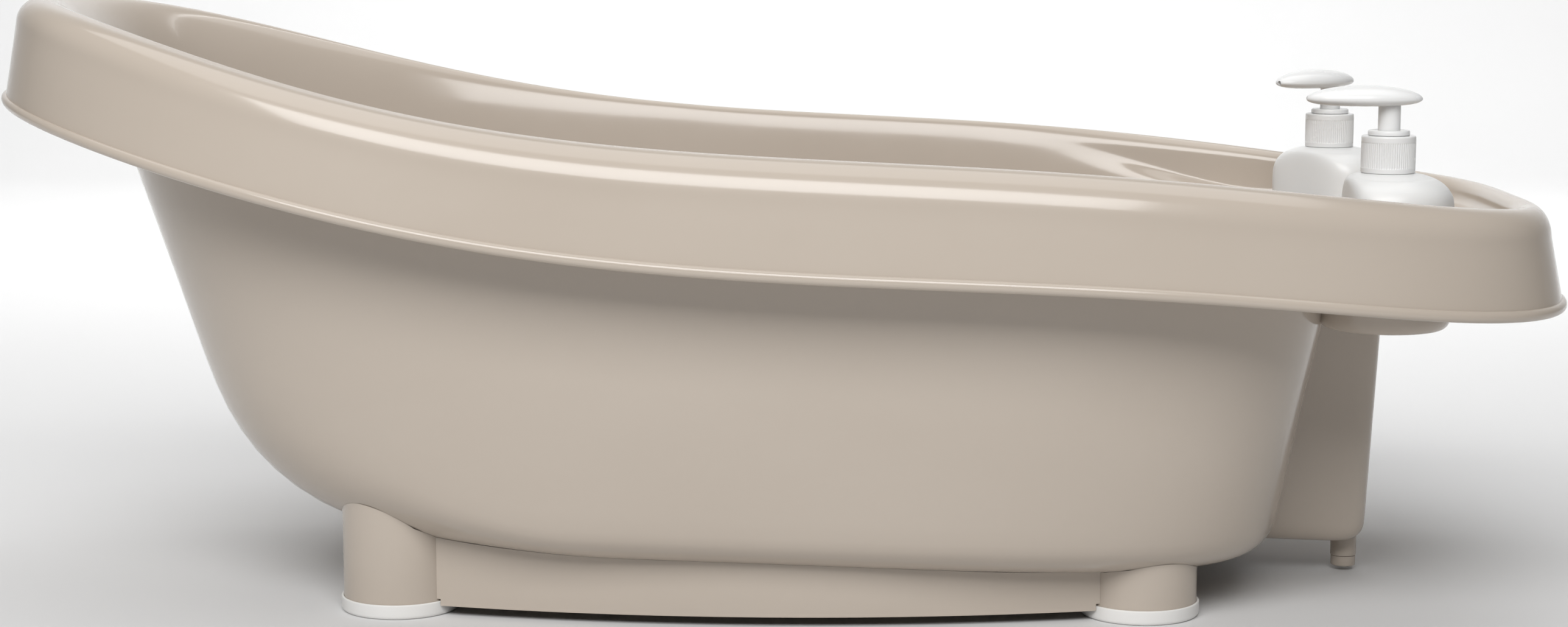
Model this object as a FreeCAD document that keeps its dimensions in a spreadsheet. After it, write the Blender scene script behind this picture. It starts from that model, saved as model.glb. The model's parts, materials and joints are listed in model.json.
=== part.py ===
import FreeCAD, Part

import math
import os
import re

import Sketcher
from FreeCAD import Placement, Rotation, Vector

# A baby bath on four legs, with two pump bottles that stand in wells at its foot end.
# Millimetres. X runs along the bath, from the high head end (-X) to the drain end (+X).
# Y runs across it: -Y is the front. Z is up, and the floor it stands on is z = 0.

# ---------------------------------------------------------------- driving dimensions
SIZES = {
    # bath, in plan
    "bath_length": 1000, "bath_width": 500, "widest_at": -89.3, "wall": 2.6, "seam": 0.1,
    # height of the rim's crest at seven even stations from the head end to the foot end
    "crest_a": 382.9, "crest_b": 344.4, "crest_c": 306.9, "crest_d": 291,
    "crest_e": 282.4, "crest_f": 267, "crest_g": 250,
    # height of the skirt's lower edge at the same stations
    "edge_a": 314.1, "edge_b": 272.5, "edge_c": 238.2, "edge_d": 221.2,
    "edge_e": 213.8, "edge_f": 200.9, "edge_g": 189,
    "bead_tall": 7, "bead_stand": 3,
    # tub floor and bottle wells
    "floor_mid": 37.1, "floor_fall": 0.03, "shelf_top": 236,
    "well_x": 380, "well_y": 109.6, "well_floor": 180, "well_mouth": 80.8, "well_foot": 74.6,
    "well_round": 6,
    # drain niche, spout and its cap
    "niche_start": 296, "niche_top_reach": 398, "niche_foot_reach": 388,
    "niche_top_half": 36, "niche_foot_half": 31, "niche_bottom": 24.5, "niche_corner": 15,
    "spout_x": 378.3, "spout_od": 17, "nose_od": 13, "spout_bore": 9, "spout_step": 10,
    "nose_tip": 5.2, "cap_od": 16.2, "cap_bottom": 3, "cap_floor": 1.2, "cap_bore": 13.12,
    "cap_top": 9.7, "seal_gap": 0.3,
    # legs, side panels and foot caps
    "leg_x": 231, "leg_y": 124, "leg_od": 71, "leg_bore": 65.4, "leg_foot": 3,
    "panel_bow": 24, "panel_reach": 205, "panel_y": 148, "panel_wall": 2.8, "panel_foot": 6.5,
    "notch_od": 75.6, "notch_top": 10.8,
    "footcap_od": 74.2, "footcap_rise": 9.2, "footcap_bore": 71.2, "footcap_round": 2.4,
    "footcap_plug": 65.2, "footcap_plug_bore": 60, "footcap_plug_rise": 9,
    # bottles
    "rear_turn": 38, "bottle_base": 180.3, "bottle_foot": 72.6, "bottle_belly": 81.6,
    "bottle_shoulder": 250, "bottle_flat": 25, "bottle_wall": 1.6, "bottle_round": 6,
    "neck_od": 25.2, "neck_low": 273.4, "neck_top": 291,
    # pumps
    "gasket_od": 25, "gasket_bore": 19.4, "gasket_top": 292,
    "collar_od": 33, "collar_low": 273.9, "collar_top": 296.6, "collar_bore": 25.6,
    "collar_deck": 293.2, "collar_mouth": 19.6, "grip_od": 32.4, "grip_low": 277, "grip_top": 292.5,
    "barrel_flange": 25, "barrel_head": 19.2, "barrel_mouth": 16.8, "barrel_shelf": 287,
    "barrel_od": 18, "barrel_bore": 15.2, "barrel_floor": 243, "socket_od": 9, "socket_low": 232,
    "valve_bore": 3, "seat_top": 241,
    "disc_od": 25.4, "disc_low": 296.8, "disc_top": 299.9, "disc_bore": 13.9, "disc_plug": 16.7,
    "disc_plug_low": 289,
    "piston_od": 15.1, "piston_low": 280.6, "piston_top": 288.6, "piston_bore": 11.2,
    "stem_od": 13.6, "stem_bore": 8.8, "stem_top": 321, "stem_wide_low": 288.7,
    "coil_radius": 5.6, "coil_wire": 0.55, "coil_low": 243.8, "coil_top": 279.9, "coil_turns": 8,
    "ball_od": 5, "tube_od": 6, "tube_bore": 4.2, "tube_low": 184.6, "tube_top": 238,
    "head_nozzle": 51, "head_back": 20, "head_half_width": 15.5, "head_low": 314.5,
    "head_edge": 318.8, "head_top": 327.2, "head_socket": 13.64, "outlet_bore": 3,
}

doc = FreeCAD.newDocument("BabyBath")
sheet = doc.addObject("Spreadsheet::Sheet", "sizes")
for row, (name, value) in enumerate(SIZES.items(), start=1):
    sheet.set(f"A{row}", name)
    sheet.set(f"B{row}", str(value))
    sheet.setAlias(f"B{row}", name)
doc.recompute()

sub_parts = []


def size(name):
    """One driving dimension, read back from the sheet."""
    return float(sheet.get(name))


def bound(text):
    """An expression in plain cell names, as another object has to write it."""
    return re.sub(r"[a-z]\w+", lambda word: "sizes." + word.group(0), text)


def worked_out(text):
    return float(sheet.evalExpression(bound(text)))


def bind(target, **expressions):
    """Tie properties of an object to expressions in the sheet's cell names."""
    for name, text in expressions.items():
        target.setExpression(name, bound(text))


def finish(item, label, x="0", y="0", turn="0"):
    """Name a sub-part, stand it at (x, y) turned about Z, and list it for export."""
    item.Label = label
    item.Placement = Placement(Vector(worked_out(x), worked_out(y), 0),
                               Rotation(Vector(0, 0, 1), worked_out(turn)))
    sub_parts.append(item)
    return item


# ---------------------------------------------------------------- PartDesign helpers
def new_sketch(body, name, role):
    plane = next(item for item in body.Origin.OriginFeatures if item.Role == role)
    sketch = body.newObject("Sketcher::SketchObject", name)
    sketch.AttachmentSupport = [(plane, "")]
    sketch.MapMode = "FlatFace"
    return sketch


def hold_point(sketch, line, text, direction):
    """Hold a line's first end at a distance from the sketch's origin, by the sheet."""
    value = worked_out(text)
    if abs(value) < 1e-9:
        axis = -2 if direction == "DistanceX" else -1
        sketch.addConstraint(Sketcher.Constraint("PointOnObject", line, 1, axis))
        return
    index = sketch.addConstraint(Sketcher.Constraint(direction, -1, 1, line, 1, value))
    sketch.setExpression(f"Constraints[{index}]", bound(text))


def closed_outline(sketch, corners):
    """A closed outline of straight lines through (x, y) corners given as expressions."""
    points = [Vector(worked_out(x), worked_out(y), 0) for x, y in corners]
    for start, end in zip(points, points[1:] + points[:1]):
        sketch.addGeometry(Part.LineSegment(start, end))
    for line in range(len(points)):
        following = (line + 1) % len(points)
        sketch.addConstraint(Sketcher.Constraint("Coincident", line, 2, following, 1))
    for line, (x, y) in enumerate(corners):
        hold_point(sketch, line, x, "DistanceX")
        hold_point(sketch, line, y, "DistanceY")


def turned(name, outline):
    """A body of revolution about Z from (radius, height) corners."""
    body = doc.addObject("PartDesign::Body", name)
    sketch = new_sketch(body, name + "_outline", "XZ_Plane")
    closed_outline(sketch, outline)
    turn = body.newObject("PartDesign::Revolution", name + "_turn")
    turn.Profile = sketch
    turn.ReferenceAxis = (sketch, ["V_Axis"])
    turn.Angle = 360
    doc.recompute()
    return body


def circles_at(shape, radius, height):
    """Names of the circular edges of one radius at one height."""
    found = []
    for index, edge in enumerate(shape.Edges, start=1):
        curve = edge.Curve
        if not isinstance(curve, Part.Circle):
            continue
        if abs(curve.Radius - radius) < 0.01 and abs(curve.Center.z - height) < 0.01:
            found.append(f"Edge{index}")
    return found


def round_rim(body, radius_text, diameter_text, height_text):
    """Round the circular edge of a turned body at one diameter and height."""
    tip = body.Tip
    edges = circles_at(tip.Shape, worked_out(diameter_text) / 2, worked_out(height_text))
    fillet = body.newObject("PartDesign::Fillet", body.Name + "_round")
    fillet.Base = (tip, edges)
    fillet.Radius = worked_out(radius_text)
    fillet.setExpression("Radius", bound(radius_text))
    body.Tip = fillet
    doc.recompute()


def cylinder(name, radius, low, high, x="0", y="0"):
    """A Part cylinder standing on Z between two heights, all given as expressions."""
    item = doc.addObject("Part::Cylinder", name)
    bind(item, Radius=radius, Height=f"({high}) - ({low})")
    item.setExpression("Placement.Base.x", bound(x))
    item.setExpression("Placement.Base.y", bound(y))
    item.setExpression("Placement.Base.z", bound(low))
    return item


def cut(name, base, tool):
    item = doc.addObject("Part::Cut", name)
    item.Base = base
    item.Tool = tool
    return item


# ---------------------------------------------------------------- the tub's moulded skin
STATIONS = 7
RING_POINTS = 72
CORNER_STEPS = 6
WALL_STEPS = 5
ROLL_STEPS = 5
# superellipse powers of the rim in plan, at its head and foot ends
RIM_HEAD_POWER = 2.3
RIM_FOOT_POWER = 3.7
# where the shelf behind the tub's mouth turns into the sides' rim, along x
SHELF_FROM = 200
SHELF_FULL = 350
# how high the floor's corner starts along the sides, and how much higher at the head end
CORNER_RISE = 24
HEAD_CORNER_RISE = 70
HEAD_CORNER_FROM = 120
HEAD_CORNER_FULL = 370
# any height above the whole bath, for the tops of cutting solids
CLEAR_ABOVE = 420


def station_height(prefix, x):
    """Height of a line along the rim: the one smooth curve through its seven stations."""
    half = size("bath_length") / 2
    stations = [-half + 2 * half * i / (STATIONS - 1) for i in range(STATIONS)]
    total = 0
    for i, letter in enumerate("abcdefg"):
        weight = 1
        for j in range(STATIONS):
            if j != i:
                weight *= (x - stations[j]) / (stations[i] - stations[j])
        total += weight * size(prefix + letter)
    return total


def crest(x):
    return station_height("crest_", x)


def skirt_edge(x):
    return station_height("edge_", x)


def ease(low, high, x):
    """0 below low, 1 above high, and a smooth step between them."""
    share = min(1, max(0, (x - low) / (high - low)))
    return share * share * (3 - 2 * share)


def ring(head, foot, half_width, head_power, foot_power, middle, height):
    """Points round the bath: two half superellipses that meet at x = middle.

    head and foot are the x of the two ends. height gives z for a point's x.
    """
    points = []
    for i in range(RING_POINTS):
        angle = 2 * math.pi * i / RING_POINTS
        c, s = math.cos(angle), math.sin(angle)
        power = foot_power if c > 0 else head_power
        reach = foot - middle if c > 0 else middle - head
        grow = (abs(c) ** power + abs(s) ** power) ** (-1 / power)
        x = middle + reach * grow * c
        points.append(Vector(x, half_width * grow * s, height(x)))
    return points


def rim_ring(head_in, foot_in, side_in, height):
    """A ring of the rim, set in from the bead's outer line at the head, foot and sides."""
    half = size("bath_length") / 2
    return ring(-half + head_in, half - foot_in, size("bath_width") / 2 - side_in,
                RIM_HEAD_POWER, RIM_FOOT_POWER, size("widest_at"), height)


def at_ends(x, head, side, foot):
    """A value that is side along the bath and eases to head and foot at its two ends."""
    half = size("bath_length") / 2
    offset = x - size("widest_at")
    reach = half - size("widest_at") if offset > 0 else half + size("widest_at")
    end = foot if offset > 0 else head
    return side + (end - side) * min(1, abs(offset) / reach) ** 4


# Wet side of the tub: its mouth, where its walls end at the floor's corner, and the floor's edge.
MOUTH = {"head": -441, "foot": 355, "half_width": 208.5, "head_power": 2.3, "foot_power": 4.5,
         "middle": -60}
CORNER = {"head": -365.5, "foot": 323.5, "half_width": 190.7, "head_power": 2.85, "foot_power": 3.5,
          "middle": -21}
FLOOR = {"head": -214, "foot": 285, "half_width": 130, "head_power": 4, "foot_power": 4, "middle": 14}
MOUTH_DROP = 22
RIM_INNER_FOOT = 469


def floor_height(x):
    return size("floor_mid") - size("floor_fall") * x


def corner_height(x):
    """The floor's corner starts low along the sides, and much higher at the head end."""
    head_rise = HEAD_CORNER_RISE * ease(HEAD_CORNER_FROM, HEAD_CORNER_FULL, -x)
    return floor_height(x) + CORNER_RISE + head_rise


def mouth_height(x):
    """Below the rim's roll along the sides, and below the shelf at the foot end."""
    under_rim = crest(x) - MOUTH_DROP
    under_shelf = size("shelf_top") - 7
    return under_rim + (under_shelf - under_rim) * ease(SHELF_FROM, SHELF_FULL, x)


def floor_corner(mouth, corner, floor, share):
    """A point on the bend that leaves the wall's line at corner and meets the floor flat."""
    drop = (corner.z - floor_height(corner.x)) / (mouth.z - corner.z)
    knee = corner + (corner - mouth) * drop
    knee.z = floor_height(knee.x)
    return floor * (1 - share) ** 2 + knee * 2 * share * (1 - share) + corner * share ** 2


def wet_rings():
    """The tub's wet side, from the floor's edge round its corner and up the walls."""
    mouths = ring(**MOUTH, height=mouth_height)
    corners = ring(**CORNER, height=corner_height)
    floors = ring(**FLOOR, height=floor_height)
    rings = []
    for i in range(CORNER_STEPS):
        rings.append([floor_corner(*points, i / CORNER_STEPS)
                      for points in zip(mouths, corners, floors)])
    for i in range(WALL_STEPS + 1):
        share = i / WALL_STEPS
        rings.append([corner + (mouth - corner) * share for mouth, corner in zip(mouths, corners)])
    return rings


# the shelf's head end at the mouth, and how much further out it reaches at the rim
SHELF_HEAD = -442
SHELF_HEAD_REACH = 7


def shelf_rings():
    """From the tub's mouth, over the shelf behind it, to the foot of the rim's inner wall.

    Each ring has the x of its foot end, its half width, its drop below the crest along the
    sides, and its rise above the shelf at the foot end.
    """
    rings = []
    for foot, half_width, drop, rise in ((359, 208.9, 17.5, -1.8), (365, 209.2, 14.6, 0),
                                         (460, 209.5, 13.2, 0), (466, 209.7, 12, 2.6)):
        share = (foot - MOUTH["foot"]) / (RIM_INNER_FOOT - MOUTH["foot"])
        foot_power = MOUTH["foot_power"] + (RIM_FOOT_POWER - MOUTH["foot_power"]) * share
        rings.append(ring(SHELF_HEAD - SHELF_HEAD_REACH * share, foot, half_width, RIM_HEAD_POWER, foot_power,
                          MOUTH["middle"] + (size("widest_at") - MOUTH["middle"]) * share,
                          lambda x, drop=drop, rise=rise: shelf_height(x, drop, rise)))
    return rings


def shelf_height(x, drop, rise):
    under_crest = crest(x) - drop - at_ends(x, 3, 0, 0)
    return under_crest + (size("shelf_top") + rise - under_crest) * ease(SHELF_FROM, SHELF_FULL, x)


def rim_rings():
    """Over the rim: inner roll, crest, outer roll, and down the skirt to its bead."""
    rings = []
    for i in range(ROLL_STEPS, 0, -1):
        a = math.pi / 2 * i / ROLL_STEPS
        rings.append(rim_ring(28 + 22 * math.sin(a), 21 + 10 * math.sin(a), 32 + 8 * math.sin(a),
                              lambda x, a=a: crest(x) - at_ends(x, 14, 10, 9) * (1 - math.cos(a))))
    for i in range(ROLL_STEPS + 1):
        a = math.pi / 2 * i / ROLL_STEPS
        rings.append(rim_ring(28 - 17.5 * math.sin(a), 21 - 11 * math.sin(a), 32 - 21.5 * math.sin(a),
                              lambda x, a=a: crest(x) - at_ends(x, 17, 26, 17) * (1 - math.cos(a))))
    stand = size("bead_stand")
    tall = size("bead_tall")
    rings.append(rim_ring(stand, stand, stand, lambda x: skirt_edge(x) + tall))
    return rings


def bead_rings():
    """Round the bead: the half circle that stands out from the skirt's lower edge."""
    tall = size("bead_tall")
    stand = size("bead_stand")
    rings = []
    for angle in (-50, -25, 0, 25, 50, 90):
        a = math.radians(angle)
        inset = stand * (1 - math.cos(a))
        rings.append(rim_ring(inset, inset, inset, lambda x, a=a: skirt_edge(x) + tall / 2 * (1 - math.sin(a))))
    return rings


def pushed_out(rings, distance):
    """Each ring moved along the skin's normal, away from the wet side."""
    moved = []
    for k, points in enumerate(rings):
        below = rings[max(0, k - 1)]
        above = rings[min(len(rings) - 1, k + 1)]
        shifted = []
        for j, point in enumerate(points):
            along = points[(j + 1) % len(points)] - points[j - 1]
            up = above[j] - below[j]
            normal = along.cross(up)
            normal.normalize()
            shifted.append(point + normal * distance)
        moved.append(shifted)
    # the floor stays a plane, straight below its wet face
    moved[0] = [point - Vector(0, 0, distance) for point in rings[0]]
    return moved


def closed_wire(points):
    curve = Part.BSplineCurve()
    curve.interpolate(Points=points, PeriodicFlag=True)
    return Part.Wire(curve.toShape())


def solid_through(rings):
    return Part.makeLoft([closed_wire(points) for points in rings], True, True)


def well_solid(extra, floor_text, top_text, round_text):
    """A drafted cup with a rounded foot: extra is the wall added round it."""
    low, high = worked_out(floor_text), worked_out(top_text)
    draft = (size("well_mouth") - size("well_foot")) / 2 / (size("shelf_top") - size("well_floor"))
    foot_radius = size("well_foot") / 2 + extra
    cone = Part.makeCone(foot_radius, foot_radius + draft * (high - low), high - low,
                         Vector(0, 0, low), Vector(0, 0, 1))
    edge = [e for e in cone.Edges if isinstance(e.Curve, Part.Circle) and e.Curve.Center.z < low + 1]
    return cone.makeFillet(worked_out(round_text), edge)


def rounded_box_wire(x_low, x_high, half, corner, z):
    """A rectangle in plan whose two corners at its +X end are rounded."""
    a = Vector(x_low, -half, z)
    b = Vector(x_high - corner, -half, z)
    c = Vector(x_high, -half + corner, z)
    middle = corner * (1 - math.sqrt(0.5))
    bend = Part.Arc(b, Vector(x_high - middle, -half + middle, z), c).toShape()
    b2 = Vector(x_high - corner, half, z)
    c2 = Vector(x_high, half - corner, z)
    bend2 = Part.Arc(c2, Vector(x_high - middle, half - middle, z), b2).toShape()
    a2 = Vector(x_low, half, z)
    return Part.Wire([Part.makeLine(a, b), bend, Part.makeLine(c, c2), bend2,
                      Part.makeLine(b2, a2), Part.makeLine(a2, a)])


def niche_solid(inset, low, high):
    """The drain niche's drafted block: inset is taken off its sides and far end."""
    top_z = size("shelf_top")
    span = top_z - size("niche_bottom")
    wires = []
    for z in (low, high):
        share = (z - size("niche_bottom")) / span
        reach = size("niche_foot_reach") + (size("niche_top_reach") - size("niche_foot_reach")) * share
        half = size("niche_foot_half") + (size("niche_top_half") - size("niche_foot_half")) * share
        wires.append(rounded_box_wire(size("niche_start"), reach - inset, half - inset,
                                      size("niche_corner") - inset, z))
    return Part.makeLoft(wires, True, True)


def bath_tub():
    """One moulding: tub, foot shelf with two wells, drain niche with spout, rim and skirt."""
    wall = size("wall")
    wet = wet_rings() + shelf_rings() + rim_rings()
    dry = pushed_out(wet, wall)
    skin = solid_through(wet + bead_rings() + dry[::-1])
    inside = solid_through(pushed_out(wet_rings(), wall / 2)
                           + [[Vector(p.x, p.y, CLEAR_ABOVE) for p in pushed_out(wet_rings(), wall / 2)[-1]]])
    niche = niche_solid(0, size("niche_bottom"), size("shelf_top") - wall / 2).cut(inside)
    spout = Part.makeCylinder(size("spout_od") / 2, size("niche_bottom") + 1 - size("spout_step"),
                              Vector(size("spout_x"), 0, size("spout_step")))
    nose = Part.makeCylinder(size("nose_od") / 2, size("spout_step") + 1 - size("nose_tip"),
                             Vector(size("spout_x"), 0, size("nose_tip")))
    tub = skin.fuse([niche, spout, nose])
    for side in (-1, 1):
        place = Vector(size("well_x"), side * size("well_y"), 0)
        cup = well_solid(wall, "well_floor - wall", "shelf_top - 1", "well_round + 2")
        cup.translate(place)
        tub = tub.fuse(cup)
    for side in (-1, 1):
        place = Vector(size("well_x"), side * size("well_y"), 0)
        hollow = well_solid(0, "well_floor", "shelf_top + 60", "well_round")
        hollow.translate(place)
        tub = tub.cut(hollow)
    tub = tub.cut(niche_solid(wall, size("niche_bottom") + wall, size("shelf_top") + 2))
    bore = Part.makeCylinder(size("spout_bore") / 2, 60, Vector(size("spout_x"), 0, 0))
    return tub.cut(bore)


tub = doc.addObject("Part::Feature", "bath_tub")
tub.Shape = bath_tub()
finish(tub, "bath_tub")

# what the legs and panels are trimmed to: the tub's dry side with a thin seam
plug = doc.addObject("Part::Feature", "tub_outside")
outside = pushed_out(wet_rings(), size("wall") + size("seam"))
plug.Shape = solid_through(outside + [[Vector(p.x, p.y, CLEAR_ABOVE) for p in outside[-1]]])


# ---------------------------------------------------------------- legs, panels, foot caps
CORNERS = {"front_head": ("-leg_x", "-leg_y"), "front_foot": ("leg_x", "-leg_y"),
           "rear_head": ("-leg_x", "leg_y"), "rear_foot": ("leg_x", "leg_y")}


def leg(corner, x, y):
    """A hollow round leg, cut off at the top along the tub's curved underside."""
    post = cylinder(f"post_{corner}", "leg_od / 2", "leg_foot", "leg_foot + 100", x, y)
    bore = cylinder(f"post_bore_{corner}", "leg_bore / 2", "leg_foot - 1", "leg_foot + 101", x, y)
    tube = cut(f"post_tube_{corner}", post, bore)
    finish(cut(f"leg_{corner}", tube, plug), f"leg_{corner}")


def foot_cap(corner, x, y):
    """A soft cap pushed over the leg's end, with a ring that plugs into the leg's bore."""
    body = turned(f"foot_cap_{corner}", [
        ("0", "0"), ("footcap_od / 2", "0"), ("footcap_od / 2", "footcap_rise"),
        ("footcap_bore / 2", "footcap_rise"), ("footcap_bore / 2", "leg_foot"),
        ("footcap_plug / 2", "leg_foot"), ("footcap_plug / 2", "footcap_plug_rise"),
        ("footcap_plug_bore / 2", "footcap_plug_rise"), ("footcap_plug_bore / 2", "leg_foot"),
        ("0", "leg_foot")])
    round_rim(body, "footcap_round", "footcap_od", "0")
    finish(body, f"foot_cap_{corner}", x, y)


# height of the stock a panel is cut from, and the width of the window that cuts out the bow
PANEL_STOCK = 90
PANEL_WINDOW = 60


def side_panel(side, sign):
    """A bowed panel between two legs: a slice of a large tube, trimmed to legs and tub."""
    radius = "((panel_reach ^ 2 + panel_bow ^ 2) / (2 * panel_bow))"
    y = f"{sign} * (panel_y + panel_bow - {radius})"
    outer = cylinder(f"bow_{side}", radius, "panel_foot", f"panel_foot + {PANEL_STOCK}", "0", y)
    inner = cylinder(f"bow_bore_{side}", f"{radius} - panel_wall", "panel_foot - 1",
                     f"panel_foot + {PANEL_STOCK + 1}", "0", y)
    band = cut(f"band_{side}", outer, inner)
    window = doc.addObject("Part::Box", f"window_{side}")
    bind(window, Length="2 * leg_x", Width=f"{PANEL_WINDOW}", Height=f"{PANEL_STOCK + 10}")
    bind(window, **{"Placement.Base.x": "-leg_x", "Placement.Base.y":
                    f"{sign} * (panel_y + 5) - {PANEL_WINDOW / 2}"})
    arc = doc.addObject("Part::Common", f"arc_{side}")
    arc.Base = band
    arc.Tool = window
    piece = cut(f"arc_under_tub_{side}", arc, plug)
    for end, x in (("head", "-leg_x"), ("foot", "leg_x")):
        post = cylinder(f"clear_{side}_{end}", "leg_od / 2 + seam", "0", "120", x, f"{sign} * leg_y")
        notch = cylinder(f"notch_{side}_{end}", "notch_od / 2", "0", "notch_top", x, f"{sign} * leg_y")
        piece = cut(f"arc_{side}_{end}", cut(f"arc_notched_{side}_{end}", piece, notch), post)
    return piece


for corner, (x, y) in CORNERS.items():
    leg(corner, x, y)
    foot_cap(corner, x, y)
doc.recompute()
for side, sign in (("front", "-1"), ("rear", "1")):
    panel = side_panel(side, sign)
    doc.recompute()
    # the window also holds the bow's two offcuts outside the legs, so keep the middle one
    middle = min(panel.Shape.Solids, key=lambda solid: abs(solid.CenterOfMass.x))
    kept = doc.addObject("Part::Feature", f"side_panel_{side}")
    kept.Shape = middle
    finish(kept, f"side_panel_{side}")

# ---------------------------------------------------------------- the drain's cap
cap = turned("drain_cap", [
    ("0", "cap_bottom"), ("cap_od / 2", "cap_bottom"), ("cap_od / 2", "cap_top"),
    ("cap_bore / 2", "cap_top"), ("cap_bore / 2", "cap_bottom + cap_floor"),
    ("0", "cap_bottom + cap_floor")])
round_rim(cap, "1", "cap_od", "cap_bottom")
finish(cap, "drain_cap", "spout_x")
seal = turned("drain_cap_seal", [
    ("0", "cap_bottom + cap_floor"), ("cap_bore / 2 - 0.05", "cap_bottom + cap_floor"),
    ("cap_bore / 2 - 0.05", "nose_tip - seal_gap"), ("0", "nose_tip - seal_gap")])
finish(seal, "drain_cap_seal", "spout_x")


# ---------------------------------------------------------------- bottles
def vessel(name, inset, base_text):
    """The bottle's body without its neck: turned, flattened on one side, and rounded."""
    belly = f"bottle_belly / 2 - {inset}"
    body = turned(name, [
        ("0", base_text), (f"bottle_foot / 2 - {inset} - bottle_round", base_text),
        (f"bottle_foot / 2 - {inset}", f"{base_text} + bottle_round"), (belly, "bottle_shoulder - 2"),
        (f"{belly} - 1", "bottle_shoulder + 6"), (f"{belly} - 4.6", f"bottle_shoulder + 13.9 - {inset}"),
        (f"{belly} - 9.8", f"bottle_shoulder + 18.7 - {inset}"),
        (f"{belly} - 16.5", f"bottle_shoulder + 22 - {inset}"),
        (f"neck_od / 2 + 1.4 - {inset}", f"neck_low - {inset}"), ("0", f"neck_low - {inset}")])
    sketch = new_sketch(body, name + "_flat", "XY_Plane")
    closed_outline(sketch, [("0 - 60", "0 - 60"), (f"{inset} - bottle_flat", "0 - 60"),
                            (f"{inset} - bottle_flat", "60"), ("0 - 60", "60")])
    flat = body.newObject("PartDesign::Pocket", name + "_flatten")
    flat.Profile = sketch
    flat.Type = "ThroughAll"
    flat.Reversed = True
    doc.recompute()
    return body


def bottle(side, place):
    """A hollow bottle: outside less inside, with a hollow neck fused on its shoulder."""
    outside = vessel(f"{side}_bottle_outside", "0", "bottle_base")
    inside = vessel(f"{side}_bottle_inside", "bottle_wall", "bottle_base + bottle_wall")
    neck = cylinder(f"{side}_neck", "neck_od / 2", "neck_low - 2", "neck_top")
    mouth = cylinder(f"{side}_mouth", "neck_od / 2 - 1.7", "neck_low - 6", "neck_top + 1")
    whole = doc.addObject("Part::Fuse", f"{side}_bottle_whole")
    whole.Base = outside
    whole.Tool = neck
    hollow = cut(f"{side}_bottle_hollow", cut(f"{side}_bottle_shell", whole, inside), mouth)
    finish(hollow, f"{side}_bottle", *place)


# ---------------------------------------------------------------- pumps
def pump_parts(side, place):
    """Everything that the collar clamps on the bottle's neck, and what slides in it."""
    gasket = turned(f"{side}_neck_gasket", [
        ("gasket_bore / 2", "neck_top"), ("gasket_od / 2", "neck_top"),
        ("gasket_od / 2", "gasket_top"), ("gasket_bore / 2", "gasket_top")])
    finish(gasket, f"{side}_neck_gasket", *place)

    collar = turned(f"{side}_collar", [
        ("collar_bore / 2", "collar_low"), ("collar_od / 2", "collar_low"),
        ("collar_od / 2", "grip_low"), ("grip_od / 2", "grip_low"), ("grip_od / 2", "grip_top"),
        ("collar_od / 2", "grip_top"), ("collar_od / 2", "collar_top"),
        ("collar_mouth / 2", "collar_top"), ("collar_mouth / 2", "collar_deck"),
        ("collar_bore / 2", "collar_deck")])
    round_rim(collar, "1.2", "collar_od", "collar_top")
    finish(collar, f"{side}_collar", *place)

    barrel = turned(f"{side}_pump_barrel", [
        ("barrel_flange / 2", "gasket_top"), ("barrel_flange / 2", "collar_deck"),
        ("barrel_head / 2", "collar_deck"), ("barrel_head / 2", "disc_low"),
        ("barrel_mouth / 2", "disc_low"), ("barrel_mouth / 2", "barrel_shelf + 2"),
        ("barrel_bore / 2", "barrel_shelf + 2"), ("barrel_bore / 2", "barrel_floor"),
        ("ball_od / 2 + 0.4", "barrel_floor"), ("ball_od / 2 + 0.4", "seat_top"),
        ("valve_bore / 2", "seat_top - 1"), ("valve_bore / 2", "tube_top"),
        ("tube_od / 2", "tube_top"), ("tube_od / 2", "socket_low"),
        ("socket_od / 2", "socket_low"), ("socket_od / 2", "tube_top"),
        ("barrel_od / 2", "barrel_floor - 1"), ("barrel_od / 2", "barrel_shelf - 2"),
        ("barrel_head / 2", "barrel_shelf"), ("barrel_head / 2", "gasket_top")])
    finish(barrel, f"{side}_pump_barrel", *place)

    disc = turned(f"{side}_lock_disc", [
        ("disc_bore / 2", "disc_plug_low"), ("disc_plug / 2", "disc_plug_low"),
        ("disc_plug / 2", "disc_low"), ("disc_od / 2", "disc_low"), ("disc_od / 2", "disc_top"),
        ("disc_bore / 2", "disc_top")])
    round_rim(disc, "1.4", "disc_od", "disc_top")
    finish(disc, f"{side}_lock_disc", *place)

    ball = turned(f"{side}_valve_ball", [
        ("0", "seat_top - 0.9"), ("ball_od / 2 * 0.6", "seat_top - 0.4"),
        ("ball_od / 2", "seat_top + 1.6"), ("ball_od / 2 * 0.7", "seat_top + 3.4"),
        ("0", "seat_top + 4.1")])
    finish(ball, f"{side}_valve_ball", *place)

    straw = turned(f"{side}_dip_tube", [
        ("tube_bore / 2", "tube_low"), ("tube_od / 2", "tube_low"), ("tube_od / 2", "tube_top"),
        ("tube_bore / 2", "tube_top")])
    finish(straw, f"{side}_dip_tube", *place)

    piston = turned(f"{side}_piston", [
        ("piston_bore / 2", "piston_low"), ("piston_od / 2", "piston_low"),
        ("piston_od / 2", "piston_low + 2"), ("piston_od / 2 - 0.8", "piston_low + 3.2"),
        ("piston_od / 2 - 0.8", "piston_top - 3.2"), ("piston_od / 2", "piston_top - 2"),
        ("piston_od / 2", "piston_top"), ("piston_bore / 2", "piston_top")])
    finish(piston, f"{side}_piston", *place)

    stem = turned(f"{side}_stem", [
        ("stem_bore / 2", "piston_low"), ("piston_bore / 2", "piston_low"),
        ("piston_bore / 2", "stem_wide_low"), ("stem_od / 2", "stem_wide_low"),
        ("stem_od / 2", "stem_top"), ("stem_bore / 2", "stem_top")])
    finish(stem, f"{side}_stem", *place)


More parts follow.
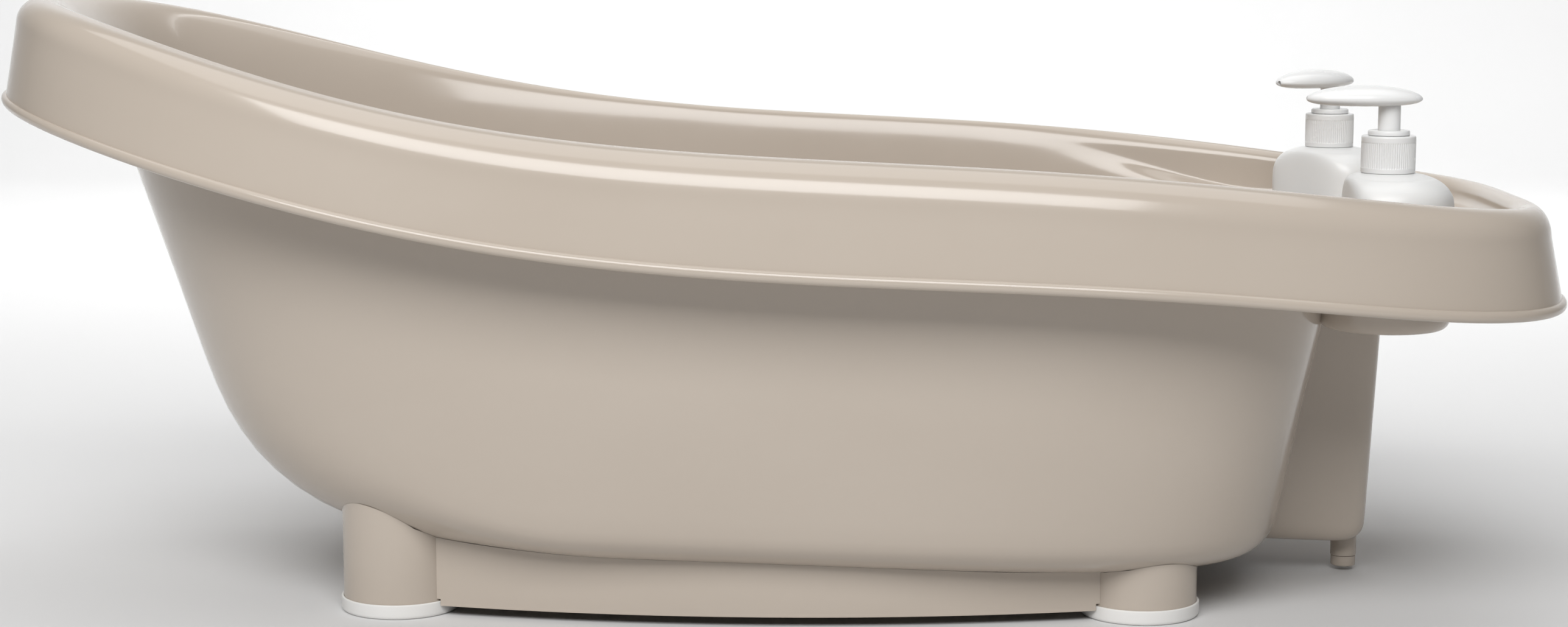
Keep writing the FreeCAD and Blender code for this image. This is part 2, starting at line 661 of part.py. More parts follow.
def spring(side, place, turn):
    """The return spring under the piston: a round wire swept along a helix that starts at turn."""
    helix = doc.addObject("Part::Helix", f"{side}_coil_line")
    bind(helix, Radius="coil_radius", Height="coil_top - coil_low - 2 * coil_wire",
         Pitch="(coil_top - coil_low - 2 * coil_wire) / coil_turns")
    helix.setExpression("Placement.Base.z", bound("coil_low + coil_wire"))
    wire = doc.addObject("Part::Circle", f"{side}_coil_wire")
    bind(wire, Radius="coil_wire")
    wire.Placement = Placement(Vector(size("coil_radius"), 0, size("coil_low") + size("coil_wire")),
                               Rotation(Vector(1, 0, 0), 90))
    doc.recompute()
    coil = doc.addObject("Part::Sweep", f"{side}_spring")
    coil.Sections = [wire]
    coil.Spine = (helix, [f"Edge{i + 1}" for i in range(len(helix.Shape.Edges))])
    coil.Solid = True
    coil.Frenet = True
    x, y, _ = place
    finish(coil, f"{side}_spring", x, y, turn)


# the head's plan, the way its underside and its dome draw in, and their levels in degrees
HEAD_POWER = 1.9
HEAD_UNDER_POWER = 0.55
HEAD_DOME_POWER = 1.05
HEAD_UNDER_DEGREES = (78, 60, 40, 20)
HEAD_DOME_DEGREES = (0, 15, 30, 45, 60, 72, 83)


def head_outline(share, height):
    """One level of the pump head: a long oval, drawn in towards its own middle by share.

    The hub isn't at the middle: the nozzle end is longer than the back.
    """
    middle = (size("head_back") - size("head_nozzle")) / 2
    reach = (size("head_back") + size("head_nozzle")) / 2
    points = []
    for i in range(RING_POINTS):
        angle = 2 * math.pi * i / RING_POINTS
        c, s = math.cos(angle), math.sin(angle)
        grow = (abs(c) ** HEAD_POWER + abs(s) ** HEAD_POWER) ** (-1 / HEAD_POWER)
        points.append(Vector(middle + reach * grow * c * share,
                             size("head_half_width") * grow * s * share, height))
    return points


def pump_head(side, place):
    """The lozenge-shaped head: domed above its edge and shallower below it."""
    low, edge, top = size("head_low"), size("head_edge"), size("head_top")
    levels = []
    for degrees in HEAD_UNDER_DEGREES:
        a = math.radians(degrees)
        sunk = math.sin(a) / math.sin(math.radians(HEAD_UNDER_DEGREES[0]))
        levels.append((math.cos(a) ** HEAD_UNDER_POWER, edge - (edge - low) * sunk))
    for degrees in HEAD_DOME_DEGREES:
        a = math.radians(degrees)
        risen = math.sin(a) / math.sin(math.radians(HEAD_DOME_DEGREES[-1]))
        levels.append((math.cos(a) ** HEAD_DOME_POWER, edge + (top - edge) * risen))
    body = solid_through([head_outline(share, height) for share, height in levels])
    socket = Part.makeCylinder(size("head_socket") / 2, size("stem_top") - low + 2, Vector(0, 0, low - 2))
    outlet = Part.makeCylinder(size("outlet_bore") / 2, size("head_nozzle") + 4,
                               Vector(-size("head_nozzle") - 4, 0, edge), Vector(1, 0, 0))
    head = doc.addObject("Part::Feature", f"{side}_pump_head")
    head.Shape = body.cut([socket, outlet])
    finish(head, f"{side}_pump_head", *place)


for side, y, turn, coil_start in (("front", "-well_y", "0", "180"),
                                  ("rear", "well_y", "rear_turn", "rear_turn")):
    place = ("well_x", y, turn)
    bottle(side, place)
    pump_parts(side, place)
    spring(side, place, coil_start)
    pump_head(side, place)

# ---------------------------------------------------------------- check and write
doc.recompute()
for item in doc.Objects:
    if "Invalid" in item.State or "Error" in item.State:
        raise RuntimeError(f"{item.Label} did not compute: {item.State}")
for item in sub_parts:
    if item.Shape.isNull() or not item.Shape.isValid():
        raise RuntimeError(f"{item.Label} has no valid shape")
os.makedirs("parts", exist_ok=True)
for item in sub_parts:
    item.Shape.exportStep(f"parts/{item.Label}.step")
    print(f"{item.Label}: {len(item.Shape.Solids)} solid(s), {item.Shape.Volume / 1000:.2f} cm3")
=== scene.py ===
"""The looks of a baby bath with two pump bottles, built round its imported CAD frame.

Sizes in the classes are millimetres, as on a maker's drawing, and a mesh is made in metres.
X runs along the bath, from its high head end (-X) to its drain end (+X). -Y is the front, Z is up.
"""

import json
import logging
import math
from dataclasses import dataclass
from enum import Enum

import bpy
import numpy as np
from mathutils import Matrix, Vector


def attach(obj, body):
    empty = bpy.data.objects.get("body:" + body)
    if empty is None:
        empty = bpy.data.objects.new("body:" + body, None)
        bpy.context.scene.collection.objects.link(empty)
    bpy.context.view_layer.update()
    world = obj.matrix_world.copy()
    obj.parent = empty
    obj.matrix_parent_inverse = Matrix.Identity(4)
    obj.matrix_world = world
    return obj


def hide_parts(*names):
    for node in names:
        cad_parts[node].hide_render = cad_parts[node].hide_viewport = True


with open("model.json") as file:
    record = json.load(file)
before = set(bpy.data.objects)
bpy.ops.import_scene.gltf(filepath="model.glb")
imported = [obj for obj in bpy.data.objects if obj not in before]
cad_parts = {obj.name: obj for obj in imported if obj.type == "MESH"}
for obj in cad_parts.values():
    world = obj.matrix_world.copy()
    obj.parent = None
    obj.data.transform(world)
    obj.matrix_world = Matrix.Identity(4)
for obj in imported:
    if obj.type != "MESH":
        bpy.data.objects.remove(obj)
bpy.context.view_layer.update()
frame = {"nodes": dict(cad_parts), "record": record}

MM = 0.001
FULL_TURN = 2 * math.pi

# a bottle stands in each well, so both classes use the wells' place
WELL_X = 380
WELL_Y = 109.6
log = logging.getLogger("baby_bath")


# ---------------------------------------------------------------- surfaces
def bend(start: np.ndarray, knee: np.ndarray, end: np.ndarray, share: np.ndarray) -> np.ndarray:
    """Points on a quadratic bend: start (1-t)^2 + 2 knee t (1-t) + end t^2."""
    return start * (1 - share) ** 2 + 2 * knee * share * (1 - share) + end * share ** 2


def soft_outline(corners: list[tuple[float, float, float]], steps: int = 6) -> np.ndarray:
    """A (radius, height) outline whose corners are rounded.

    Each corner gives way to a quadratic bend that starts and ends its round's length away from it.

    Args:
        corners: (radius, height, round) of each corner, from the first end to the last.
        steps: How many points each bend has.

    Returns:
        The outline's points, one row each.
    """
    points = np.array([corner[:2] for corner in corners], float)
    rounds = [corner[2] for corner in corners]
    share = np.linspace(0, 1, steps)[:, None]
    pieces = [points[:1]]
    for before, here, after, radius in zip(points, points[1:], points[2:], rounds[1:-1]):
        if radius <= 0:
            pieces.append(here[None])
            continue
        back = before - here
        ahead = after - here
        start = here + back * min(0.5, radius / np.linalg.norm(back))
        end = here + ahead * min(0.5, radius / np.linalg.norm(ahead))
        pieces.append(bend(start[None], here[None], end[None], share))
    pieces.append(points[-1:])
    return np.concatenate(pieces)


def smoothed(rows: np.ndarray, steps: int) -> np.ndarray:
    """A uniform cubic B-spline across rows of points, which starts and ends on the first and last.

    Args:
        rows: Control rows, shaped (rows, columns, 3).
        steps: How many rows come out for each that goes in.

    Returns:
        The smoothed rows.
    """
    padded = np.concatenate([rows[:1], rows[:1], rows, rows[-1:], rows[-1:]])
    u = np.arange(steps) / steps
    weights = np.stack([(1 - u) ** 3, 3 * u ** 3 - 6 * u ** 2 + 4,
                        1 + 3 * u + 3 * u ** 2 - 3 * u ** 3, u ** 3]) / 6
    windows = np.stack([padded[k:len(padded) - 3 + k] for k in range(4)])
    blended = np.einsum("ks,kpcx->pscx", weights, windows).reshape(-1, *rows.shape[1:])
    return np.concatenate([blended, rows[-1:]])


def normals_of(rows: np.ndarray) -> np.ndarray:
    """Unit normals of a closed-round grid: the way round crossed with the way up the rows."""
    around = np.roll(rows, -1, axis=1) - np.roll(rows, 1, axis=1)
    across = np.gradient(rows, axis=0)
    normal = np.cross(around, across)
    return normal / np.maximum(np.linalg.norm(normal, axis=2, keepdims=True), 1e-9)


def ease(low: float, high: float, value: np.ndarray) -> np.ndarray:
    """A smooth step: 0 below low, 1 above high, 3t^2 - 2t^3 between."""
    share = np.clip((value - low) / (high - low), 0, 1)
    return share * share * (3 - 2 * share)


def surface(name: str, rows: np.ndarray, *, tied: bool = False, crease: float = 40) -> bpy.types.Object:
    """A mesh from a grid of points that closes on itself along its rows.

    Args:
        name: The piece's name.
        rows: Points in millimetres, shaped (rows, columns, 3).
        tied: Join the last row to the first, as on a ring's section. If not, a fan closes each of them.
        crease: Angle in degrees between faces above which an edge stays sharp.

    Returns:
        The new object, at the origin.
    """
    count, around = rows.shape[:2]
    points = rows.reshape(-1, 3)
    index = np.arange(count * around).reshape(count, around)
    if tied:
        index = np.concatenate([index, index[:1]])
    side = np.roll(index, -1, axis=1)
    quads = np.stack([index[:-1], side[:-1], side[1:], index[1:]], axis=2).reshape(-1, 4)
    fans = []
    if not tied:
        middles = np.stack([rows[0].mean(axis=0), rows[-1].mean(axis=0)])
        first = np.full(around, len(points))
        points = np.concatenate([points, middles])
        fans.append(np.stack([side[0], index[0], first], axis=1))
        fans.append(np.stack([index[-1], side[-1], first + 1], axis=1))
    faces = quads.tolist() + [face for fan in fans for face in fan.tolist()]
    mesh = bpy.data.meshes.new(name)
    mesh.from_pydata((points * MM).tolist(), [], faces)
    mesh.validate()
    piece = bpy.data.objects.new(name, mesh)
    bpy.context.scene.collection.objects.link(piece)
    soften(mesh, crease)
    return piece


def soften(mesh: bpy.types.Mesh, crease: float) -> None:
    """Smooth shading, with edges sharper than the crease angle left sharp."""
    mesh.shade_smooth()
    mesh.set_sharp_from_angle(angle=math.radians(crease))


def turned(outline: np.ndarray, centre: tuple[float, float], columns: int = 96) -> np.ndarray:
    """Rows of a lathe-turned shape: each outline point goes round the centre at its radius."""
    angle = np.arange(columns) * FULL_TURN / columns
    radius = np.maximum(outline[:, 0:1], 1e-3)
    x = centre[0] + radius * np.cos(angle)
    y = centre[1] + radius * np.sin(angle)
    return np.stack([x, y, np.broadcast_to(outline[:, 1:2], x.shape)], axis=2)


def faced_outwards(piece: bpy.types.Object) -> bpy.types.Object:
    """Turn a closed piece's faces over if its signed volume says that they point inwards."""
    mesh = piece.data
    mesh.calc_loop_triangles()
    corners = np.zeros(len(mesh.loop_triangles) * 3, np.int64)
    mesh.loop_triangles.foreach_get("vertices", corners)
    places = np.zeros(len(mesh.vertices) * 3)
    mesh.vertices.foreach_get("co", places)
    triangles = places.reshape(-1, 3)[corners].reshape(-1, 3, 3)
    volume = np.einsum("ij,ij->i", triangles[:, 0], np.cross(triangles[:, 1], triangles[:, 2])).sum()
    if volume < 0:
        mesh.flip_normals()
    return piece


class Joining(Enum):
    """What a boolean does with its tools."""

    ADD = "UNION"
    TAKE_AWAY = "DIFFERENCE"


def joined(piece: bpy.types.Object, tools: list[bpy.types.Object], how: Joining) -> None:
    """Add tools to a closed piece or take them away from it, and remove the tools.

    Args:
        piece: The closed mesh that is changed.
        tools: Closed meshes, removed afterwards.
        how: Whether the tools are added or taken away.
    """
    for tool in tools:
        change = piece.modifiers.new("joining", "BOOLEAN")
        change.operation = how.value
        change.solver = "EXACT"
        change.object = tool
        graph = bpy.context.evaluated_depsgraph_get()
        made = bpy.data.meshes.new_from_object(piece.evaluated_get(graph))
        piece.modifiers.clear()
        old = piece.data
        piece.data = made
        bpy.data.meshes.remove(old)
        bpy.data.objects.remove(tool)


# ---------------------------------------------------------------- finishes
class Wiring:
    """Short ways to add and link shader nodes in one material."""

    def __init__(self, name: str) -> None:
        """Start an empty material with a Principled shader and Object coordinates."""
        self.material = bpy.data.materials.new(name)
        self.material.use_nodes = True
        self.tree = self.material.node_tree
        self.tree.nodes.clear()
        self.shader = self.add("ShaderNodeBsdfPrincipled")
        output = self.add("ShaderNodeOutputMaterial")
        self.link(self.shader.outputs["BSDF"], output.inputs["Surface"])
        self.place = self.add("ShaderNodeTexCoord").outputs["Object"]

    def add(self, kind: str) -> bpy.types.Node:
        """Add a node of one kind."""
        return self.tree.nodes.new(kind)

    def link(self, start: bpy.types.NodeSocket, end: bpy.types.NodeSocket) -> None:
        """Link an output to an input."""
        self.tree.links.new(start, end)

    def noise(self, scale: float, detail: float, stretch: tuple[float, float, float] = (1, 1, 1),
              roughness: float = 0.5) -> bpy.types.NodeSocket:
        """Cloudy noise over the piece.

        Args:
            scale: Cells to the metre.
            detail: Octaves.
            stretch: How much finer it is along each axis.
            roughness: Strength of the fine octaves.

        Returns:
            The noise's value output, from 0 to 1.
        """
        mapping = self.add("ShaderNodeMapping")
        mapping.inputs["Scale"].default_value = stretch
        self.link(self.place, mapping.inputs["Vector"])
        texture = self.add("ShaderNodeTexNoise")
        texture.inputs["Scale"].default_value = scale
        texture.inputs["Detail"].default_value = detail
        texture.inputs["Roughness"].default_value = roughness
        self.link(mapping.outputs["Vector"], texture.inputs["Vector"])
        return texture.outputs["Fac"]

    def between(self, value: bpy.types.NodeSocket, low: tuple, high: tuple) -> bpy.types.NodeSocket:
        """A colour that runs from low to high as the value goes from 0.3 to 0.7."""
        ramp = self.add("ShaderNodeValToRGB")
        ramp.color_ramp.elements[0].position = 0.3
        ramp.color_ramp.elements[1].position = 0.7
        ramp.color_ramp.elements[0].color = (*low, 1)
        ramp.color_ramp.elements[1].color = (*high, 1)
        self.link(value, ramp.inputs["Fac"])
        return ramp.outputs["Color"]

    def spread(self, value: bpy.types.NodeSocket, low: float, high: float) -> bpy.types.NodeSocket:
        """The value, carried from 0.3-0.7 to low-high."""
        span = self.add("ShaderNodeMapRange")
        span.inputs["From Min"].default_value = 0.3
        span.inputs["From Max"].default_value = 0.7
        span.inputs["To Min"].default_value = low
        span.inputs["To Max"].default_value = high
        self.link(value, span.inputs["Value"])
        return span.outputs["Result"]

    def bump(self, height: bpy.types.NodeSocket, depth_mm: float,
             under: bpy.types.NodeSocket | None = None) -> bpy.types.NodeSocket:
        """A bump of a real depth, on top of another if one is given."""
        node = self.add("ShaderNodeBump")
        node.inputs["Strength"].default_value = 1
        node.inputs["Distance"].default_value = depth_mm * MM
        self.link(height, node.inputs["Height"])
        if under is not None:
            self.link(under, node.inputs["Normal"])
        return node.outputs["Normal"]


@dataclass(frozen=True)
class MouldedPlastic:
    """An injection-moulded plastic: a cloudy colour, faint flow marks, and a fine skin texture."""

    name: str
    colour: tuple[float, float, float]
    shade: tuple[float, float, float]
    smooth: float
    rough: float
    grain_scale: float
    grain_depth: float
    wave_scale: float = 9
    wave_depth: float = 0.02
    coat: float = 0
    coat_roughness: float = 0.05
    subsurface: float = 0
    clear: float = 0

    def material(self) -> bpy.types.Material:
        """Build the material.

        Returns:
            A new material with colour, roughness and bump from noise on Object coordinates.
        """
        wiring = Wiring(self.name)
        shader = wiring.shader
        cloud = wiring.noise(6, 3, (1, 1, 2.2))
        wiring.link(wiring.between(cloud, self.shade, self.colour), shader.inputs["Base Color"])
        handled = wiring.noise(23, 4, (1, 1, 1.6), 0.6)
        wiring.link(wiring.spread(handled, self.smooth, self.rough), shader.inputs["Roughness"])
        waves = wiring.bump(wiring.noise(self.wave_scale, 1), self.wave_depth)
        grain = wiring.bump(wiring.noise(self.grain_scale, 2), self.grain_depth, waves)
        wiring.link(grain, shader.inputs["Normal"])
        shader.inputs["Coat Weight"].default_value = self.coat
        shader.inputs["Coat Roughness"].default_value = self.coat_roughness
        shader.inputs["Subsurface Weight"].default_value = self.subsurface
        shader.inputs["Subsurface Radius"].default_value = (1, 0.9, 0.8)
        shader.inputs["Subsurface Scale"].default_value = 3 * MM
        shader.inputs["Transmission Weight"].default_value = self.clear
        return wiring.material


@dataclass(frozen=True)
class DrawnSteel:
    """Bright drawn spring wire, with fine draw marks round the coil."""

    name: str

    def material(self) -> bpy.types.Material:
        """Build the material: metallic, with streaks of roughness and colour."""
        wiring = Wiring(self.name)
        streaks = wiring.noise(900, 3, (1, 1, 0.2))
        wiring.link(wiring.between(streaks, (0.42, 0.42, 0.43), (0.62, 0.62, 0.63)),
                    wiring.shader.inputs["Base Color"])
        wiring.link(wiring.spread(streaks, 0.2, 0.38), wiring.shader.inputs["Roughness"])
        wiring.link(wiring.bump(streaks, 0.01), wiring.shader.inputs["Normal"])
        wiring.shader.inputs["Metallic"].default_value = 1
        return wiring.material


TAUPE = MouldedPlastic("taupe_gloss", (0.51, 0.445, 0.38), (0.495, 0.43, 0.365), 0.13, 0.19, 900, 0.004,
                       coat=0.12)
BOTTLE_WHITE = MouldedPlastic("bottle_white", (0.8, 0.8, 0.79), (0.78, 0.78, 0.77), 0.3, 0.38, 700, 0.006,
                              subsurface=0.15)
PUMP_WHITE = MouldedPlastic("pump_white", (0.81, 0.81, 0.805), (0.79, 0.79, 0.785), 0.22, 0.3, 1100, 0.004,
                            subsurface=0.1)
FOOT_WHITE = MouldedPlastic("foot_white", (0.82, 0.81, 0.79), (0.79, 0.78, 0.76), 0.5, 0.62, 1300, 0.02,
                            subsurface=0.08)
SEAL_GREY = MouldedPlastic("seal_grey", (0.3, 0.3, 0.3), (0.27, 0.27, 0.27), 0.5, 0.62, 1300, 0.02)
TUBE_CLEAR = MouldedPlastic("tube_clear", (0.9, 0.93, 0.94), (0.88, 0.91, 0.92), 0.14, 0.2, 500, 0.01,
                            clear=0.85)
STEEL = DrawnSteel("spring_steel")


def dress(piece: bpy.types.Object, material: bpy.types.Material) -> None:
    """Give a whole piece one material."""
    piece.data.materials.clear()
    piece.data.materials.append(material)


def stands_for(piece: bpy.types.Object, node: str, body: str,
               material: bpy.types.Material) -> None:
    """Dress a piece, and put it in a CAD node's place on its body.

    Args:
        piece: The finished mesh.
        node: The CAD node that it stands for.
        body: The body that it moves with.
        material: Its finish.
    """
    dress(piece, material)
    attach(piece, body)
    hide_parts(node)
    log.info("%s on %s: %d faces", piece.name, body, len(piece.data.polygons))


# ---------------------------------------------------------------- the bath
@dataclass(frozen=True)
class PlanRing:
    """A ring round the bath in plan: two half superellipses that meet at x = middle."""

    head: float
    foot: float
    half_width: float
    head_power: float
    foot_power: float
    middle: float

    def at(self, angle: np.ndarray) -> tuple[np.ndarray, np.ndarray]:
        """Points at angles: (|cos|^p + |sin|^p)^(-1/p) times cos and sin, times the two reaches.

        Args:
            angle: Angles in radians; 0 is the foot end.

        Returns:
            The x and y of each point.
        """
        cosine, sine = np.cos(angle), np.sin(angle)
        power = np.where(cosine > 0, self.foot_power, self.head_power)
        reach = np.where(cosine > 0, self.foot - self.middle, self.middle - self.head)
        grow = (np.abs(cosine) ** power + np.abs(sine) ** power) ** (-1 / power)
        return self.middle + reach * grow * cosine, self.half_width * grow * sine


@dataclass
class BathTub:
    """The bath's one moulding: tub, drain niche, foot shelf with wells, rim, skirt and bead."""

    half_length: float = 500
    half_width: float = 250
    widest_at: float = -89.3
    wall: float = 2.6
    crest_stations: tuple = (382.9, 344.4, 306.9, 291, 282.4, 267, 250)
    edge_stations: tuple = (314.1, 272.5, 238.2, 221.2, 213.8, 200.9, 189)
    floor_middle: float = 37.1
    floor_fall: float = 0.03
    shelf: float = 236
    bead_tall: float = 7
    bead_stand: float = 3
    rim_powers: tuple = (2.3, 3.7)
    rim_inner_foot: float = 469
    shelf_kept_from: float = 190
    shelf_from: float = 200
    shelf_full: float = 350
    corner_rise: float = 24
    head_corner_rise: float = 70
    mouth: PlanRing = PlanRing(-441, 355, 208.5, 2.3, 4.5, -60)
    corner: PlanRing = PlanRing(-365.5, 323.5, 190.7, 2.85, 3.5, -21)
    floor: PlanRing = PlanRing(-214, 285, 130, 4, 4, 14)
    mouth_drop: float = 22
    wall_share: float = 0.88
    niche_zone: float = math.radians(20)
    niche_wet_foot: tuple = (385.4, 28.4)
    niche_wet_top: tuple = (395.2, 33.4)
    niche_corner: float = 12.4
    niche_fillet: float = 10
    well_floor: float = 180
    well_mouth: float = 40.4
    well_foot: float = 37.3
    well_round: float = 6
    well_lip: float = 2
    spout_x: float = 378.3
    spout_radius: float = 8.5
    nose_radius: float = 6.5
    spout_step: float = 10
    nose_tip: float = 5.2
    bore_radius: float = 4.5
    inner_roll_rows: int = 7
    columns: int = 256

    def station_height(self, stations: tuple, x: np.ndarray) -> np.ndarray:
        """Height of a line along the rim: the one polynomial through its evenly spaced stations."""
        places = np.linspace(-1, 1, len(stations))
        curve = np.polyfit(places, stations, len(stations) - 1)
        return np.polyval(curve, x / self.half_length)

    def crest(self, x: np.ndarray) -> np.ndarray:
        """Height of the rim's crest."""
        return self.station_height(self.crest_stations, x)

    def skirt_edge(self, x: np.ndarray) -> np.ndarray:
        """Height of the skirt's lower edge."""
        return self.station_height(self.edge_stations, x)

    def floor_height(self, x: np.ndarray) -> np.ndarray:
        """Height of the tub's floor, which falls towards the drain."""
        return self.floor_middle - self.floor_fall * x

    def at_ends(self, x: np.ndarray, head: float, side: float, foot: float) -> np.ndarray:
        """side along the bath, and head or foot at its ends: the share of the way there, to the 4th."""
        offset = x - self.widest_at
        reach = np.where(offset > 0, self.half_length - self.widest_at, self.half_length + self.widest_at)
        end = np.where(offset > 0, foot, head)
        return side + (end - side) * np.clip(np.abs(offset) / reach, 0, 1) ** 4

    def rim_row(self, angle: np.ndarray, insets: tuple[float, float, float], height) -> np.ndarray:
        """A row of the rim, set in from its outer line at the head, foot and sides."""
        head_in, foot_in, side_in = insets
        ring = PlanRing(-self.half_length + head_in, self.half_length - foot_in, self.half_width - side_in,
                        *self.rim_powers, self.widest_at)
        x, y = ring.at(angle)
        return np.stack([x, y, height(x)], axis=1)

    def tub_rows(self, angle: np.ndarray) -> tuple[list, list, list]:
        """The floor, the bend at its edge, and the walls, as three lists of rows.

        Each bend runs from the floor's edge, by the knee where the wall's line meets the floor, to the
        wall's foot. Walls are straight lines from their foot to the mouth.
        """
        floor_x, floor_y = self.floor.at(angle)
        corner_x, corner_y = self.corner.at(angle)
        mouth_x, mouth_y = self.mouth.at(angle)
        floors = np.stack([floor_x, floor_y, self.floor_height(floor_x)], axis=1)
        corner_rise = self.corner_rise + self.head_corner_rise * ease(120, 370, -corner_x)
        corner_z = self.floor_height(corner_x) + corner_rise
        corners = np.stack([corner_x, corner_y, corner_z], axis=1)
        under_rim = self.crest(mouth_x) - self.mouth_drop
        at_shelf = ease(self.shelf_from, self.shelf_full, mouth_x)
        mouth_z = under_rim + (self.shelf - 7 - under_rim) * at_shelf
        mouths = np.stack([mouth_x, mouth_y, mouth_z], axis=1)
        drop = (corner_z - self.floor_height(corner_x)) / (mouth_z - corner_z)
        knees = corners + (corners - mouths) * drop[:, None]
        knees[:, 2] = self.floor_height(knees[:, 0])
        middle = np.array([self.floor.middle, 0, self.floor_height(self.floor.middle)])
        floor_rows = [middle + (floors - middle) * share for share in (0.04, 0.3, 0.55, 0.75, 0.9)]
        bend_rows = [bend(floors, knees, corners, share) for share in np.arange(8) / 8]
        wall_rows = [corners + (mouths - corners) * share for share in np.linspace(0, self.wall_share, 8)]
        return floor_rows, bend_rows, wall_rows + [mouths]

    def shelf_rows(self, angle: np.ndarray) -> list:
        """From the tub's mouth over the shelf to the foot of the rim's inner wall.

        Each row has the x of its foot end, its half width, its drop below the crest along the sides
        and its rise above the shelf at the foot end.
        """
        rows = []
        level, end = 365, 460
        steps = [(357.5, 208.7, 19, -3.6), (360.5, 208.9, 17.3, -1.1), (level, 209.2, 15.2, 0)]
        for foot in (375, 395, 418, 440, 455):
            along = foot - level
            steps.append((foot, 209.2 + 0.3 * along / (end - level), 15.2 - 2 * along / (end - level), 0))
        steps += [(463, 209.6, 12.4, 0.5), (467.5, 209.8, 11.3, 3.5)]
        for foot, half, drop, rise in steps:
            share = (foot - self.mouth.foot) / (self.rim_inner_foot - self.mouth.foot)
            ring = PlanRing(-442 - 7 * share, foot, half, self.mouth.head_power,
                            self.mouth.foot_power - 0.8 * share,
                            self.mouth.middle + (self.widest_at - self.mouth.middle) * share)
            x, y = ring.at(angle)
            under = self.crest(x) - drop - self.at_ends(x, 3, 0, 0)
            z = under + (self.shelf + rise - under) * ease(self.shelf_from, self.shelf_full, x)
            rows.append(np.stack([x, y, z], axis=1))
        return rows

    def roll_rows(self, angle: np.ndarray) -> list:
        """Over the rim: quarter ellipses up the inner side and down the outer, then the skirt."""
        rows = []
        for a in np.radians(np.linspace(90, 0, self.inner_roll_rows + 1))[:-1]:
            insets = (28 + 22 * math.sin(a), 21 + 10 * math.sin(a), 32 + 8 * math.sin(a))
            rows.append(self.rim_row(angle, insets, lambda x, a=a: self.crest(x)
                                     - self.at_ends(x, 14, 10, 9) * (1 - math.cos(a))))
        for a in np.radians(np.linspace(0, 90, 9)):
            insets = (28 - 17.5 * math.sin(a), 21 - 11 * math.sin(a), 32 - 21.5 * math.sin(a))
            rows.append(self.rim_row(angle, insets, lambda x, a=a: self.crest(x)
                                     - self.at_ends(x, 17, 26, 17) * (1 - math.cos(a))))
        crease = self.rim_row(angle, (self.bead_stand,) * 3, lambda x: self.skirt_edge(x) + self.bead_tall)
        skirt_top = rows[-1]
        for share in (0.3, 0.6, 0.85, 1):
            rows.append(skirt_top + (crease - skirt_top) * share)
        return rows

    def eased_inside(self, rows: np.ndarray, walls: int, crest: int) -> np.ndarray:
        """Rows whose inner side rises to the crest in one soft bend, except where the shelf is.

        The bend leaves the wall at its last row before the mouth, in the wall's own line, and has its
        knee where that line meets the crest's height. The shelf fades in along the foot end.

        Args:
            rows: All the wet rows.
            walls: Index of the last wall row.
            crest: Index of the crest's row.

        Returns:
            The rows, changed between those two.
        """
        start, before, end = rows[walls], rows[walls - 1], rows[crest]
        climb = (end[:, 2] - start[:, 2]) / (start[:, 2] - before[:, 2])
        knee = start + (start - before) * climb[:, None]
        share = (np.arange(1, crest - walls) / (crest - walls))[:, None, None]
        soft = bend(start[None], knee[None], end[None], share)
        old = rows[walls + 1:crest]
        at_shelf = ease(self.shelf_kept_from, self.shelf_full, old[..., 0])[..., None]
        rows[walls + 1:crest] = soft + (old - soft) * at_shelf
        return rows

    def bead_rows(self, angle: np.ndarray) -> list:
        """Round the bead: a half circle that stands out from the skirt's lower edge."""
        rows = []
        for a in np.radians(np.linspace(-84, 90, 15)):
            inset = self.bead_stand * (1 - math.cos(a))
            rows.append(self.rim_row(angle, (inset,) * 3, lambda x, a=a: self.skirt_edge(x)
                                     + self.bead_tall / 2 * (1 - math.sin(a))))
        return rows

    def niche_profile(self, centre: np.ndarray,
                      counts: list[int]) -> tuple[np.ndarray, np.ndarray, np.ndarray]:
        """Where each row of the end wall goes in the drain niche's middle line.

        Args:
            centre: The rows' points on the bath's middle line at the foot end, without a niche.
            counts: How many rows are floor, bend, wall and shelf.

        Returns:
            The rows' (x, z) in the niche, their half widths, and how far they follow the niche's plan.
        """
        floors, bends, walls, shelves = counts
        target = centre[:, [0, 2]].copy()
        half = np.full(len(centre), self.niche_wet_top[1] + 6)
        follow = np.zeros(len(centre))
        foot_x, foot_half = self.niche_wet_foot
        top_x, top_half = self.niche_wet_top
        rounding = 12
        run = np.array([0, 0, 0.15, 0.45, 0.8]) * (foot_x - rounding - self.floor.foot)
        target[:floors, 0] += run
        target[:floors, 1] = self.floor_height(target[:floors, 0])
        half[:floors] = foot_half - rounding * 0.7
        follow[:floors] = (0, 0.1, 0.4, 0.75, 1)
        share = (np.arange(bends) / bends)[:, None]
        low = self.floor_height(foot_x)
        start = np.array([[foot_x - rounding, self.floor_height(foot_x - rounding)]])
        end = np.array([[foot_x + 0.6, low + rounding]])
        target[floors:floors + bends] = bend(start, np.array([[foot_x, low]]), end, share)
        half[floors:floors + bends] = (foot_half - rounding * 0.7 * (1 - share[:, 0]) ** 2)
        wall_share = np.linspace(0, self.wall_share, walls)[:, None]
        top = np.array([[top_x, self.shelf - 8]])
        target[floors + bends:floors + bends + walls] = end + (top - end) * wall_share
        half[floors + bends:floors + bends + walls] = foot_half + (top_half - foot_half) * wall_share[:, 0]
        follow[floors:floors + bends + walls] = 1
        lip = floors + bends + walls
        reach = np.array([top_x, top_x + 1, top_x + 3, top_x + 7, 410, 420, 432, 446, 456, 463, 467.5])
        target[lip:lip + shelves, 0] = reach
        half[lip:lip + shelves] = top_half + np.array([0, 1, 3, 7, 9, 11, 13, 14, 15, 15, 15])
        follow[lip:lip + shelves] = (1, 1, 1, 1, 0.85, 0.6, 0.3, 0.1, 0, 0, 0)
        return target, half, follow

